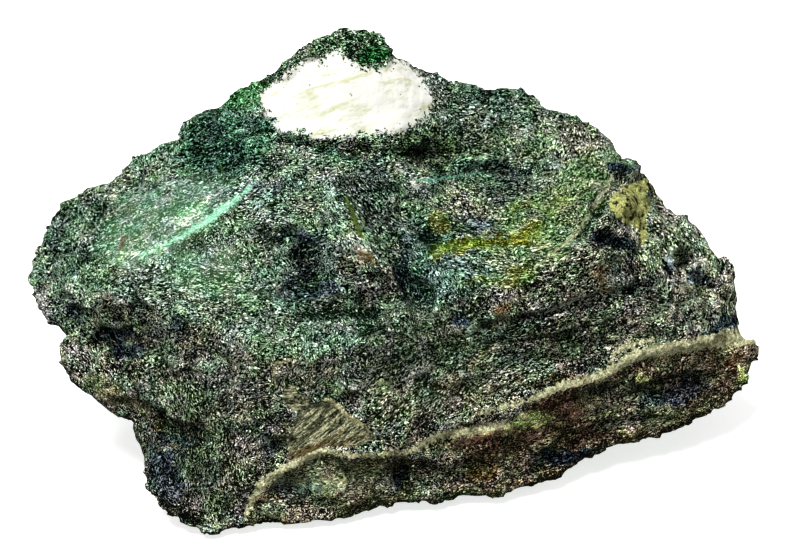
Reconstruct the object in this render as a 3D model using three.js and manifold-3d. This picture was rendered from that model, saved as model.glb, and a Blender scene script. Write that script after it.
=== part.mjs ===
// A serpentine rock: one broken hand specimen, 120 mm across, that rests on a small flat spot.
// Millimetres, +Z up, +X to the right as it is looked at, +Y away from the viewer.
// The stone is laid out by the corners of its fracture faces. Those of the display side are
// written as they are seen from SIGHT_ELEVATION above the horizon, as [across, up, deep]: up runs
// square to the line of sight and deep along it. Those of the hidden sides are plain [x, y, z].
// The corners are joined into flat faces, the faces are split into small triangles, the relief of
// the broken surface is added to those, and the base is cut flat where the stone stands.
import * as THREE from "three";
import { ConvexHull } from "three/addons/math/ConvexHull.js";
import { SimplexNoise } from "three/addons/math/SimplexNoise.js";
import { TessellateModifier } from "three/addons/modifiers/TessellateModifier.js";
import { mergeVertices } from "three/addons/utils/BufferGeometryUtils.js";
import Module from "manifold-3d";

// Driving dimensions
const SIGHT_ELEVATION = THREE.MathUtils.degToRad(30);
const LONGEST_EDGE = 3.75; // of the small triangles, before the relief is added
const SAME_POINT = 1e-3; // corners closer than this are one corner
const GROUND = -1.2; // height at which the base is cut flat
const GROUND_BLOCK = { side: 300, thickness: 60 }; // what is cut away below GROUND
const HEART = new THREE.Vector3(0, 38, 22); // every corner can be seen from this inner point

// Relief of the broken surface. Each layer of it has the distance between its lumps, its height
// and how many times longer the lumps are along the grain of the stone than across it.
const GRAIN = new THREE.Vector3(0.917, 0.375, 0.137).normalize();
const RELIEF = [
  { spacing: 16, height: 0.75, stretch: 1.3 },
  { spacing: 8, height: 0.6, stretch: 1.6 },
  { spacing: 4.6, height: 0.6, stretch: 3.2 },
  { spacing: 4, height: 0.4, stretch: 1 },
];
const RELIEF_SEED = 13;
const LAYER_SHIFT = 31; // how far apart in the noise two layers are read, so that they differ

// Pits of the display side, [across, up, deep] with their radius and their depth
const PITS = [
  { at: [-46.2, 32.3, 4.5], radius: 3.6, depth: 1.9 },
  { at: [-34.5, 34, -4.5], radius: 3.2, depth: 1.2 },
  { at: [-20.8, 13.9, -3], radius: 3.4, depth: 2.1 },
  { at: [-18.4, 7.6, -0.3], radius: 3.2, depth: 1.2 },
  { at: [0.5, 8.7, 3.6], radius: 3, depth: 1.6 },
  { at: [21, 13.6, 7.4], radius: 4.5, depth: 1.5 },
  { at: [3.8, 38.6, 2.5], radius: 3.4, depth: 1.4 },
  { at: [-15.9, 43, 1.5], radius: 4.2, depth: 1.1 },
  { at: [34.9, 48, 8.5], radius: 4.2, depth: 2.2 },
  { at: [18.5, 56.6, 14.5], radius: 3.6, depth: 1.5 },
  { at: [49.7, 44, 20.5], radius: 3.4, depth: 1.6 },
];

// Corners of the display side, [across, up, deep]
const SKYLINE = [
  [-60.6, 42.8, 15], [-57.7, 48.2, 15.5], [-56, 52.4, 16], [-53.1, 55, 16.5], [-48.4, 57.9, 17.5],
  [-44.4, 61.8, 18], [-39.7, 63.3, 17], [-36.2, 64.7, 14.5], [-35.7, 67.4, 13.5], [-31.5, 68.6, 13],
  [-28.2, 69.9, 14.5], [-27, 72.2, 16], [-23.9, 74.1, 17], [-18.4, 76.9, 17], [-14.3, 80.2, 17],
  [-11.8, 81.8, 17.5], [-8.5, 82.8, 18], [-3.6, 82.4, 19], [-0.8, 78.5, 19.5], [4.3, 76.5, 21],
  [9.5, 73.8, 22], [14.4, 73.3, 23.5], [20.1, 72.8, 24.5], [24.6, 69.9, 25.5], [28.9, 68.8, 26],
  [32.3, 66.8, 25.5], [35.1, 63.1, 25.5], [37.9, 60.5, 25], [40.7, 59.4, 24], [42.1, 56.2, 23],
  [42.5, 53.8, 23.5], [45.8, 51, 25.5], [50.5, 48.9, 27], [52, 46, 27.5], [55.2, 44.9, 28],
  [55.5, 40.6, 27.5], [55.8, 36.6, 26.5], [56.2, 31.7, 28],
];
const LOWER_EDGE = [
  [-60.3, 39.6, 14], [-57.6, 35.4, 12], [-55, 31, 10.5], [-55.7, 28, 10], [-53.5, 24.7, 9.5],
  [-49.3, 21.4, 7.5], [-42.6, 18.4, 5.5], [-41.9, 13, 4], [-41.4, 7.9, 2.5], [-37.7, 3.2, 1],
  [-33, 0.2, 0], [-28, 0.9, 0.3], [-21.8, 0.6, 1], [-14.8, 1.5, 2], [-7.7, 2.8, 3.5],
  [0.7, 5.2, 6], [7.7, 5.1, 7], [15.3, 5.6, 8], [20.8, 7.2, 9.5], [26, 8.6, 11.5],
  [29.9, 12, 13.5], [33.8, 14, 15], [39.9, 14.4, 17], [47.6, 17.3, 19], [53.8, 20.6, 22],
  [57.7, 24.4, 24], [59, 27.4, 25], [60.5, 29.7, 25.5], [56.5, 31.2, 25],
];
const SHOULDER = [
  [-52.8, 42.1, 7], [-47.1, 40.3, 2], [-40.5, 38.1, -2.5], [-34.8, 36.4, -5], [-28.2, 33.1, -6],
  [-22.1, 29.7, -6], [-15.9, 28.9, -5], [-8.5, 30.2, -3.5], [-2, 33.9, -2], [4.6, 37.2, -1],
  [13.6, 39.7, 0], [21.8, 42.1, 1], [28.9, 45.1, 3], [33, 48.2, 6], [34.8, 52.2, 9.5],
  [35.9, 56.2, 13], [35.4, 60.2, 18],
];
const VEIN = [
  [-24.4, 6.2, -0.3], [-19, 11, -2], [-12.5, 14.1, -2.5], [-4.4, 13.4, -0.8], [2.3, 14.5, 0.3],
  [7.4, 17, 1], [14.8, 19.4, 2], [22.1, 22, 3.5], [29.9, 25.2, 5.5], [37.1, 28.6, 9],
  [43.5, 30.6, 12.5], [49.5, 31.8, 17], [55.4, 32.8, 22],
];
const FRONT_FACE = [
  [-49.5, 31.8, 5.5], [-43.6, 25.1, 1.5], [-41.5, 31.2, -1], [-38.9, 18.6, 1], [-35.1, 12.6, -1],
  [-33.8, 22.2, -3.5], [-32.3, 6.2, -0.8], [-29.2, 15.8, -3], [-25.7, 23.3, -5.5], [-34, 29.4, -4.5],
  [-25.9, 9.7, -2], [-22, 17, -3.5], [-19.3, 23.2, -5],
];
const CHIP = [
  [-16.7, 20.8, -4], [-10.2, 20.7, -3], [-3.9, 16.5, -1.3], [-13, 17.2, -2.8],
];
const STRIPED_FACE = [
  [2.6, 20.8, -0.3], [-6.2, 24.9, -3.2], [1.5, 28.2, -1.5], [10.2, 25.4, 0.5], [18.5, 27.5, 2],
  [9.5, 32.8, -0.3], [26.7, 31.5, 4], [18.9, 35.6, 1.2], [35.1, 34.6, 7.5], [28.7, 38.9, 3.5],
  [36.4, 41.3, 7.5], [42.8, 36.6, 12.5], [49.7, 37.1, 18.5],
];
const UNDER_VEIN = [
  [55.6, 27.2, 22.5], [49.7, 24.1, 18], [41.5, 21.6, 14], [33.3, 19, 10.5], [25.1, 15.3, 8.5],
  [16.9, 12.4, 6.5], [8.7, 10.2, 5.2], [0.5, 9, 3.8], [-8, 7.9, 1.6], [-16.2, 6.6, 0],
];
const BENCH = [
  [-24.5, 45.9, 2.5], [-19.5, 42.3, 1.5], [-14.3, 38.7, 2.5], [-8.5, 37, 3.2], [-2.2, 37.4, 3.8],
  [3.1, 39.4, 3.8], [-31.5, 41.8, -1], [-38.4, 43.6, -0.5], [-24.1, 38.1, -2],
];
const STEP_TOP = [
  [-30.8, 49.2, 3], [-24.5, 50.3, 3.2], [-17.5, 50.3, 1.2], [-11.3, 48.8, 0.6], [-6.2, 46.4, 0.9],
  [-2, 42.8, 2.4],
];
const GREEN_RIDGE = [
  [-23.6, 57.6, 9.5], [-29.4, 53.9, 6.5], [-36.2, 50.2, 4], [-44.2, 46, 3],
];
const LEFT_SLOPE = [
  [-39.2, 55.4, 9.5], [-49.2, 49.4, 9.5], [-47.2, 54.6, 13.5], [-54.4, 47, 11.5], [-33.4, 56.9, 10.5],
];
const SCOOP = [
  [-35.4, 59.5, 12.5], [-28.9, 58.2, 11], [-22.1, 62.5, 11], [-24.4, 67.1, 13.5], [-30, 63.7, 12.3],
];
const MIDDLE_RIDGE = [
  [-17.4, 57.2, 8], [-11, 60.4, 9], [-9.8, 56.1, 5.8], [-8.4, 51.6, 2.8], [-17.4, 62.8, 12],
  [-10.8, 63.2, 12],
];
const DARK_FACET = [
  [-4.4, 57.6, 9.2], [-4.1, 62.3, 12.8], [-3.4, 51, 5], [1, 59.6, 13.5], [0.5, 53.4, 9.5],
  [1.1, 46.6, 6.5],
];
const LABEL_FACE = [
  [-16.2, 76.2, 15], [-7.4, 78, 16], [0.7, 74.8, 17.5], [6.4, 70.4, 19.5], [-22, 71.2, 14.5],
  [-9.5, 71.3, 14], [-16.6, 66.2, 12], [-8.4, 65.2, 12.3], [0.5, 66.4, 14.8],
];
const BASIN = [
  [6.4, 43.2, 3.5], [14.4, 45.4, 5], [22.6, 47.4, 6.5], [29.4, 50, 9], [7.4, 49.6, 8],
  [15.1, 51.8, 10.5], [23.5, 53.8, 12.5], [31, 55.4, 14.5], [7.7, 56.4, 13.5], [14.8, 58.8, 17],
  [22.8, 60.7, 19.3], [29.9, 61.8, 21], [6.6, 63.4, 18.3], [13.6, 65.6, 21], [21.3, 66.7, 23],
];
const RIGHT_END = [
  [39.9, 46.4, 11], [46.4, 43.2, 17], [51.4, 40.3, 23], [39.5, 51.8, 14.5], [44.3, 48.7, 19],
  [39.2, 56.1, 18.5], [49, 45.8, 22.5], [52.4, 36.2, 21.5],
];

// Corners of the hidden sides, [x, y, z]
const BACK = [
  [-53, 44, 24], [-44, 52, 34], [-31, 57, 43], [-18, 60, 50], [-5, 66, 49], [8, 68, 42],
  [19, 67, 40], [33, 64, 33], [44, 58, 26], [54, 51, 17], [-47, 50, 14], [-36, 61, 22],
  [-19, 67, 29], [-6, 73, 24], [13, 75, 19], [27, 69, 19], [40, 63, 12], [50, 53, 9],
  [-38, 52, 4], [-25, 63, 6], [-10, 70, 3], [8, 71, 1.5], [25, 66, 3], [38, 58, 3], [47, 47, 5],
];
const UNDERSIDE = [
  [-33, 14, 0.8], [-39, 27, 4], [-36, 42, 2.5], [-20, 58, 1.2], [0, 62, 0.4], [20, 58, 0.8],
  [34, 50, 2.2], [42, 40, 5.5], [30, 28, 2.5], [16, 18, 0.8], [0, 13, 0.4], [-18, 12, 0.3],
  [-28, 30, 0.4], [-27, 46, 0.3], [-47, 33, 12], [-42, 43, 6.5],
];
const FLAT_SPOT = [
  [-17, 29, -2.4], [-18, 40, -2.4], [-7, 48, -2.4], [8, 49, -2.4], [18, 42, -2.4],
  [16, 31, -2.4], [5, 26, -2.4], [-7, 25, -2.4], [0, 37, -2.6],
];

const ACROSS = new THREE.Vector3(1, 0, 0);
const UPWARD = new THREE.Vector3(0, Math.sin(SIGHT_ELEVATION), Math.cos(SIGHT_ELEVATION));
const AHEAD = new THREE.Vector3(0, Math.cos(SIGHT_ELEVATION), -Math.sin(SIGHT_ELEVATION));

function asSeen([across, up, deep]) {
  return new THREE.Vector3()
    .addScaledVector(ACROSS, across)
    .addScaledVector(UPWARD, up)
    .addScaledVector(AHEAD, deep);
}

function allCorners() {
  const seen = [
    SKYLINE, LOWER_EDGE, SHOULDER, VEIN, FRONT_FACE, CHIP, STRIPED_FACE, UNDER_VEIN, BENCH,
    STEP_TOP, GREEN_RIDGE, LEFT_SLOPE, SCOOP, MIDDLE_RIDGE, DARK_FACET, LABEL_FACE, BASIN, RIGHT_END,
  ].flat();
  const hidden = [BACK, UNDERSIDE, FLAT_SPOT].flat();
  return [...seen.map(asSeen), ...hidden.map((corner) => new THREE.Vector3(...corner))];
}

// Joins the corners into flat triangular faces. Seen from HEART the corners lie round a sphere,
// and the convex hull of their directions says which of them are neighbours.
function fractureFaces(corners) {
  const cornerOf = new Map();
  const directions = corners.map((corner) => {
    const direction = corner.clone().sub(HEART).normalize();
    cornerOf.set(direction, corner);
    return direction;
  });
  const positions = [];
  for (const face of new ConvexHull().setFromPoints(directions).faces) {
    let edge = face.edge;
    do {
      positions.push(...cornerOf.get(edge.head().point).toArray());
      edge = edge.next;
    } while (edge !== face.edge);
  }
  const geometry = new THREE.BufferGeometry();
  geometry.setAttribute("position", new THREE.Float32BufferAttribute(positions, 3));
  return geometry;
}

function smallTriangles(geometry) {
  const roundsEnough = 40;
  const split = new TessellateModifier(LONGEST_EDGE, roundsEnough).modify(geometry);
  return mergeVertices(split, SAME_POINT);
}

// A repeatable run of numbers from 0 to 1 for the noise to be built on: the minimal standard
// generator, which multiplies its state and keeps the remainder of a division by a prime.
function seededRandom(seed) {
  const multiplier = 16807;
  const prime = 2 ** 31 - 1;
  let state = seed;
  return {
    random() {
      state = (state * multiplier) % prime;
      return state / prime;
    },
  };
}

const noise = new SimplexNoise(seededRandom(RELIEF_SEED));
const pits = PITS.map(({ at, radius, depth }) => ({ centre: asSeen(at), radius, depth }));

// Height of the relief at a point: lumps drawn out along the grain, less the pits.
function reliefAt(point) {
  const along = point.dot(GRAIN);
  let height = 0;
  RELIEF.forEach((layer, index) => {
    const place = point.clone()
      .addScaledVector(GRAIN, along / layer.stretch - along)
      .divideScalar(layer.spacing);
    height += layer.height * noise.noise3d(place.x + LAYER_SHIFT * index, place.y, place.z);
  });
  for (const pit of pits) {
    const away = point.distanceTo(pit.centre) / pit.radius;
    height -= pit.depth * Math.max(0, 1 - away * away);
  }
  return height;
}

// Moves each point along its line from HEART, so that the surface can't fold over itself.
function addRelief(geometry) {
  const position = geometry.getAttribute("position");
  const point = new THREE.Vector3();
  for (let index = 0; index < position.count; index++) {
    point.fromBufferAttribute(position, index);
    const outward = point.clone().sub(HEART).normalize();
    point.addScaledVector(outward, reliefAt(point));
    position.setXYZ(index, point.x, point.y, point.z);
  }
}

async function cutBase(geometry) {
  const wasm = await Module();
  wasm.setup();
  const toSolid = (source) => {
    const bare = mergeVertices(new THREE.BufferGeometry()
      .setAttribute("position", source.getAttribute("position"))
      .setIndex(source.getIndex()), SAME_POINT);
    return new wasm.Manifold(new wasm.Mesh({
      numProp: 3,
      vertProperties: Float32Array.from(bare.getAttribute("position").array),
      triVerts: Uint32Array.from(bare.getIndex().array),
    }));
  };
  const { side, thickness } = GROUND_BLOCK;
  const belowGround = new THREE.BoxGeometry(side, side, thickness)
    .translate(0, 0, GROUND - thickness / 2);
  const mesh = toSolid(geometry).subtract(toSolid(belowGround)).getMesh();
  return new THREE.BufferGeometry()
    .setAttribute("position", new THREE.BufferAttribute(Float32Array.from(mesh.vertProperties), 3))
    .setIndex(Array.from(mesh.triVerts));
}

// Puts the middle of the foot of the bounding box at the origin.
function standAtOrigin(geometry) {
  geometry.computeBoundingBox();
  const { min, max } = geometry.boundingBox;
  geometry.translate(-(min.x + max.x) / 2, -(min.y + max.y) / 2, -min.z);
}

async function stoneShape() {
  const rough = smallTriangles(fractureFaces(allCorners()));
  addRelief(rough);
  const shape = await cutBase(rough);
  standAtOrigin(shape);
  shape.computeVertexNormals();
  return shape;
}

const specimen = new THREE.Group();
const rock = new THREE.Mesh(
  await stoneShape(),
  new THREE.MeshStandardMaterial({ color: 0x39493c, roughness: 0.7, metalness: 0 }),
);
rock.name = "rock";
specimen.add(rock);

export default specimen;
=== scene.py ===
"""A hand specimen of serpentine rock on a pale studio floor.

The stone's surface is a fine mesh made from the CAD node, with the chips, ledges, pits and grain of
broken serpentine pressed into it. Its markings are areas, lines and patches laid out in
millimetres of the picture: across to the right, and up square to the line of sight.
"""

import math

import bmesh
import bpy
import numpy as np
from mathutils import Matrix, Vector, noise


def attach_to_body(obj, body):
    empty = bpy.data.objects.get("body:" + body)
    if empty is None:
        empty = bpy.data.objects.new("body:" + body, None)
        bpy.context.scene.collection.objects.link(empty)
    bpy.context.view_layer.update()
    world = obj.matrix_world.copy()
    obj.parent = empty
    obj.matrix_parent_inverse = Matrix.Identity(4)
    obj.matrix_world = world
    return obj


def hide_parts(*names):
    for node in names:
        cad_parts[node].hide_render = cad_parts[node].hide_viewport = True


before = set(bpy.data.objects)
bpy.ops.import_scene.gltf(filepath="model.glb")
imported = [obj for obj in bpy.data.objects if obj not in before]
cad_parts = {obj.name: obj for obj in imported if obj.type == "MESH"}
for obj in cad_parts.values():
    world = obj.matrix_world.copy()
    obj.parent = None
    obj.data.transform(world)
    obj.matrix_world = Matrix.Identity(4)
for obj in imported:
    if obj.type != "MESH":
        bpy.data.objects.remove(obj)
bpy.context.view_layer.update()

MM = 0.001

# The picture: how it is seen, in mm of the shared frame
SIGHT_ELEVATION = math.radians(30)
SIGHT_TARGET = np.array([0.37, -9.93, 33.49])
CAMERA_DISTANCE = 1200.0
PICTURE_WIDTH = 130.4  # mm of the stone that the picture spans at the target
PICTURE_SCALE = 1.006  # picture mm in a mm of the stone at the target
PICTURE_CENTRE = np.array([0.49, 41.9])  # across and up, picture mm
TO_CAMERA = np.array([0.0, -math.cos(SIGHT_ELEVATION), math.sin(SIGHT_ELEVATION)])
PICTURE_UP = np.array([0.0, math.sin(SIGHT_ELEVATION), math.cos(SIGHT_ELEVATION)])

# The mesh, in mm
VOXEL = 0.86  # of the closed skin drawn round the CAD solid
SHOWN_FACING = -0.12  # faces that look this much towards the camera get the finer mesh
FOLD_FACING = 0.3  # a face turned further than this from its first normal counts as folded
FOLD_PASSES = 5
EASING = 0.5  # share of the way that a vertex goes to the middle of its neighbours
EASE_PASSES = 2
GRAIN_DIRECTION = (0.917, 0.375, 0.137)
GRAIN = np.array(GRAIN_DIRECTION) / math.hypot(*GRAIN_DIRECTION)
ALONG = np.array([1.0, 0.0, 0.0])  # along the flow, in its own coordinates

# Markings. Outlines and lines are (across, up); a line has its half width as well.
PAINT = [
    (-22, 70.7), (-21.8, 72.3), (-20.2, 73.5), (-18.5, 74.6), (-16.9, 75.8), (-15.6, 76.8),
    (-14.4, 77.7), (-13, 77.4), (-12.3, 76.3), (-11.6, 77.7), (-10.7, 78.7), (-9.2, 78.6), (-8.2, 77.6),
    (-6.7, 76.1), (-4.8, 75.8), (-1.6, 75.8), (-1, 76.9), (0.3, 77.2), (1.8, 76.6), (2.8, 75.6),
    (3.9, 74.9), (4.4, 73.6), (5.4, 72.2), (5.7, 70.7), (5.4, 69), (4.4, 67.7), (3.3, 66.6),
    (1.5, 66.1), (-0.8, 65.8), (-3.8, 65.6), (-6.6, 65.4), (-8.4, 64.8), (-11, 64.8), (-13.6, 64.9),
    (-15.7, 65.8), (-17.5, 65.6), (-19.2, 66.3), (-20, 67.4), (-21.5, 68.9),
]
CHIP = [
    (-17.7, 11.6), (-18, 14.1), (-17.4, 16.4), (-16.6, 18.7), (-15.7, 20.2), (-13.1, 21), (-11, 21.3),
    (-9.3, 20), (-8, 18.7), (-6.6, 18.2), (-5.1, 17.1), (-3.3, 15.4), (-5.7, 14.4), (-8.7, 13.9),
    (-11.6, 14.1), (-14.4, 13),
]
FLAKE = [
    (-18.9, 22), (-18.4, 23.9), (-17.1, 24.3), (-16.1, 22.5), (-13.8, 21.8), (-14.4, 20), (-16.6, 19.8),
    (-18, 20.7),
]
CRUST = [
    (34.8, 54.3), (35.3, 55.4), (36.4, 55.8), (36.6, 56.7), (37.9, 57.1), (39.2, 57.2), (40.7, 58.1),
    (41.8, 57.7), (42.3, 56.9), (42, 56.1), (40.8, 55.9), (40.7, 54.8), (41.5, 54.1), (41.5, 52.8),
    (40.7, 51.7), (40.8, 50.2), (41.2, 48.5), (40.2, 47.1), (39.5, 48.1), (39.9, 49.5), (38.9, 50),
    (37.4, 50.8), (35.8, 51.7), (34.9, 53),
]
VEIN_LEFT = [
    (-24.6, 3, 0.25), (-23.9, 4.9, 0.45), (-22.9, 6.7, 0.62), (-22, 8, 0.7), (-20.3, 9.2, 0.66),
    (-18, 10.6, 0.6), (-15.5, 11.8, 0.55), (-13.3, 12.8, 0.5), (-11.5, 13.4, 0.45), (-9, 12.8, 0.3),
    (-6.1, 12.5, 0.26), (-3.4, 12.5, 0.26), (-0.8, 13.1, 0.34), (1.8, 13.1, 0.32), (3.8, 14.1, 0.4),
    (6.4, 15.6, 0.5), (10.7, 16.4, 0.66), (15.6, 17.2, 0.62), (18.2, 17.9, 0.35),
]
VEIN_RIGHT = [
    (12, 18.9, 0), (16.9, 20.3, 0.25), (21.8, 21.6, 0.41), (26.7, 23.9, 0.56), (31.7, 25.1, 0.52),
    (34.1, 25.9, 0.66), (36.6, 27.4, 0.74), (39, 28.9, 0.82), (42.3, 29.8, 1), (45.8, 30.2, 0.95),
    (49.2, 30.8, 1), (52.3, 31.4, 1.1), (55.4, 31.8, 1.45), (62, 33.1, 1.45),
]
VEIN_BRANCH = [
    (34.9, 27.6, 0.16), (35.9, 29.4, 0.39), (37.7, 30.5, 0.43), (40.2, 31.2, 0.26), (42.3, 31.7, 0),
]
STREAK = [
    (-22.1, 58.2, 0.03), (-24.4, 56.4, 0.21), (-26.6, 54.4, 0.46), (-28.7, 52.8, 0.59),
    (-31, 51.2, 0.61), (-33, 49.9, 0.49), (-34.9, 48.7, 0.38), (-37.2, 47.6, 0.26), (-39.7, 46.4, 0.16),
    (-42.1, 45.4, 0.08),
]
# Thin lines of other colours (sRGB, in percent): threads and small flakes, and pale lines along the
# rim and the chip's upper edge that are painted highlights
LINES_AND_EDGE_HIGHLIGHTS = [
    ((72, 74, 66), [
        (22.1, 35.1, 0.08), (25.9, 36.6, 0.15), (30, 38.4, 0.13), (33.3, 39.7, 0.03),
    ]),
    ((46, 66, 56), [(0.5, 57.6, 0.03), (5.7, 57.7, 0.15), (10.3, 58.4, 0.15), (14.3, 59, 0.03)]),
    # Pale line along the rim's edge: painted highlight
    ((80, 79, 74), [
        (35.3, 58.1, 0.08), (34.3, 56.1, 0.26), (32.6, 54.4, 0.23), (31.3, 53.1, 0.07),
    ]),
    # Pale line along the rim's edge: painted highlight
    ((68, 70, 57), [
        (21.8, 42.6, 0.05), (24.3, 44.6, 0.2), (26.7, 46.7, 0.31), (28.9, 48.5, 0.28),
        (30.8, 50.8, 0.31), (32.6, 53.6, 0.26), (34.3, 56.4, 0.3), (35.3, 58.7, 0.08),
    ]),
    ((66, 65, 50), [
        (-19.8, 23.9, 0.05), (-20.3, 25.9, 0.15), (-19.7, 27.7, 0.23), (-17.5, 28.2, 0.15),
        (-15.4, 29, 0.03),
    ]),
    ((66, 65, 50), [(-18, 18.4, 0.1), (-18, 15.7, 0.18), (-17.7, 13.1, 0.07)]),
    # Pale line along the chip's upper edge: painted highlight
    ((80, 78, 62), [
        (-12.3, 21.6, 0.1), (-11, 21.6, 0.31), (-9.5, 20.5, 0.34), (-8.2, 19, 0.31), (-6.6, 18.2, 0.28),
        (-5.1, 17.1, 0.16), (-3.9, 15.9, 0.05),
    ]),
    ((44, 39, 27), [
        (-17.2, 12, 0.13), (-15.4, 13.1, 0.33), (-13.6, 13.8, 0.33), (-11.6, 14.9, 0.26),
        (-8.7, 16.6, 0.13),
    ]),
    ((38, 34, 24), [
        (-11, 14.1, 0.1), (-8.5, 14.9, 0.23), (-5.7, 15.7, 0.16), (-3.1, 16.7, 0.05),
    ]),
    ((52, 56, 42), [
        (-3.6, 23.6, 0.1), (-2.8, 24.6, 0.2), (-1.1, 24.4, 0.2), (-0.8, 23.6, 0.15), (-2.1, 23.1, 0.15),
        (-3.6, 23.6, 0.1),
    ]),
    ((62, 54, 40), [
        (-7.4, 46.9, 0.05), (-5.9, 45.9, 0.31), (-4.3, 44.8, 0.3), (-3.1, 43.8, 0.05),
    ]),
    ((50, 48, 36), [(-44.8, 48.5, 0.3), (-45.1, 46.9, 0.36), (-45.6, 45.9, 0.16)]),
    ((40, 47, 26), [(-8.4, 55.1, 0.1), (-7.4, 52.5, 0.4), (-6.4, 49.9, 0.45), (-5.6, 47.6, 0.15)]),
    ((88, 90, 86), [(2.5, 57.4, 0.39), (3.3, 56.6, 0.49)]),
    ((84, 87, 82), [(-0.5, 61.3, 0.1), (0.3, 60, 0.26), (1, 58.7, 0.1)]),
    ((64, 68, 58), [(43.1, 37.1, 0.05), (48.1, 37.7, 0.15), (51.7, 38, 0.05)]),
    ((60, 64, 55), [(34.9, 33.1, 0.03), (41.5, 35.1, 0.16), (48.1, 37.1, 0.1)]),
    ((30, 42, 24), [
        (-29.8, 62.6, 0.05), (-28.7, 59.4, 0.16), (-28.4, 57.4, 0.13), (-29.7, 56.1, 0.03),
    ]),
]
FRONT = [
    (-64, 43), (-60.2, 40.6), (-52.8, 39.8), (-47.1, 38.6), (-40.5, 36.5), (-34.8, 34.6), (-28.2, 31.6),
    (-22.1, 28.6), (-15.9, 28), (-8.5, 29.4), (-2, 32.8), (4.6, 36.2), (13.6, 38.9), (21.8, 41.5),
    (28.4, 45.3), (32.4, 48.4), (34, 52.5), (35.4, 58.5), (66, 66), (66, -8), (-64, -8),
]
BELOW_VEIN = [
    (-24.6, 3.8), (-22.6, 8), (-17.5, 11.3), (-12.6, 13.8), (-7.7, 12.6), (2.1, 13.3), (7.4, 16.1),
    (18.2, 17.7), (23, 21.6), (31.7, 25.4), (39, 29.7), (46.4, 31.3), (56, 33), (64, 30), (50, 5),
    (0, -8), (-26, -6),
]

# An oval is (across, up, half width, half height), with its tilt in degrees where it has one.
# Where the stone's grain runs in arcs: their middle (across, up), and the oval they fill
ARCS = [
    ((15.4, 70.7), (24, 52, 18, 11, 12)),
    ((26.9, 33.3), (48, 44, 8, 15, 40)),
]
# Where it runs straight: the oval, and how steeply the grain rises to the right, in degrees
FLOWS = [
    ((-4.4, 61.3, 21.3, 3.6), 1), ((-29.8, 62.3, 6.9, 3.9, 20), 14),
    ((-37.6, 52, 13.1, 4.9, 25), 27), ((-29.8, 39.4, 19.7, 4.3, -4), -2),
    ((-3.6, 49.2, 10.8, 4.9, -58), -48), ((-20, 53.1, 6.9, 3, 8), 6), ((28.4, 63, 3.3, 3.3, 0), 65),
    ((16.9, 68.9, 9.8, 2.6, -6), -4), ((-48.7, 29.5, 8.5, 5.2, -50), -46),
    ((-36.2, 20.3, 4.9, 6.6, -30), -70), ((-30.3, 11.5, 5.6, 7.2, 0), 84),
    ((4.6, 24.6, 10.2, 5.9, 20), 40), ((33.3, 33.1, 27.9, 6.2, 17), 18), ((-8.5, 8.2, 15.6, 3.9, 3), 4),
    ((26.7, 14.1, 21.3, 4.3, 18), 14), ((49.7, 24.9, 9, 3.9, 24), 22), ((-7.7, 79.9, 6.6, 3.3, 0), -8),
    ((-11.8, 15.6, 6.2, 4.3, 30), 38),
]

# Broken steps that face down in the picture: the line (across, up), how deep and how far down
LEDGES = [
    ([(-19.5, 65.6), (-15.1, 64.3), (-11, 63.8), (-6.1, 63.5), (0.5, 62.8), (7.1, 63.3)], 0.9, 2.6),
    ([(11.3, 60.2), (15.3, 61), (18.9, 60.4), (25.4, 59.4)], 1.1, 2.6),
    ([(-24.9, 49.7), (-21.6, 50.2), (-17.5, 49.9), (-13.4, 50.2)], 0.8, 3),
    ([(-41.2, 21), (-37.9, 19), (-33.6, 17.1)], 1, 3),
    ([(2.5, 57), (9, 56), (13, 54), (14, 51.5)], 0.8, 2.5),
    ([(16, 34.5), (24, 36.5), (32, 39), (40, 41)], 0.8, 3),
    ([(9, 31), (16, 31.5), (24, 32), (32, 34)], 0.6, 2.5),
]
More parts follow.
